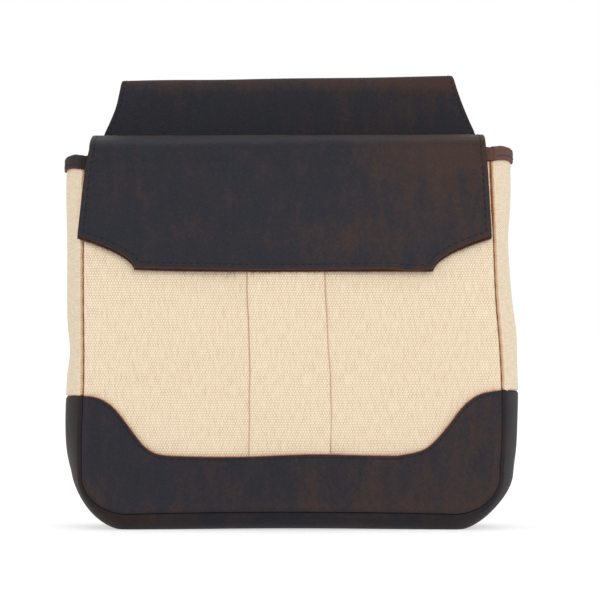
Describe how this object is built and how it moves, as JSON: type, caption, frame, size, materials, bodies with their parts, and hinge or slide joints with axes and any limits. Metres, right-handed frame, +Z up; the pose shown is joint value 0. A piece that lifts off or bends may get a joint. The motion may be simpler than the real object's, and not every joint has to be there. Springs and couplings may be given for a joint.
{
  "type": "hunting bag",
  "caption": "Belt-worn canvas hunting pouch with a leather base, a leather flap over its mouth and a folded leather belt loop behind.",
  "frame": {"origin": "centre of the flat base that it stands on", "axes": "+X to the right seen from the front, +Y to the back where the belt loop is, +Z up from the surface"},
  "size_m": [0.2517, 0.0836, 0.2512],
  "materials": {
    "canvas": "unbleached cotton duck, plain weave, matt",
    "leather": "black-brown smooth leather, soft sheen, brown cut edges",
    "suede": "brown leather with its rough side out",
    "tape": "thin dark leather folded over the canvas edge, stitched"
  },
  "bodies": {
    "root": {"front_panel": "canvas", "front_pleat": "canvas", "back_panel": "canvas", "gusset_left": "canvas", "gusset_right": "canvas", "front_base": "leather", "base_gusset": "leather", "binding_left": "tape", "binding_right": "tape", "binding_front": "tape", "flap": "leather", "flap_lining": "suede", "belt_loop": "leather"}
  },
  "joints": []
}
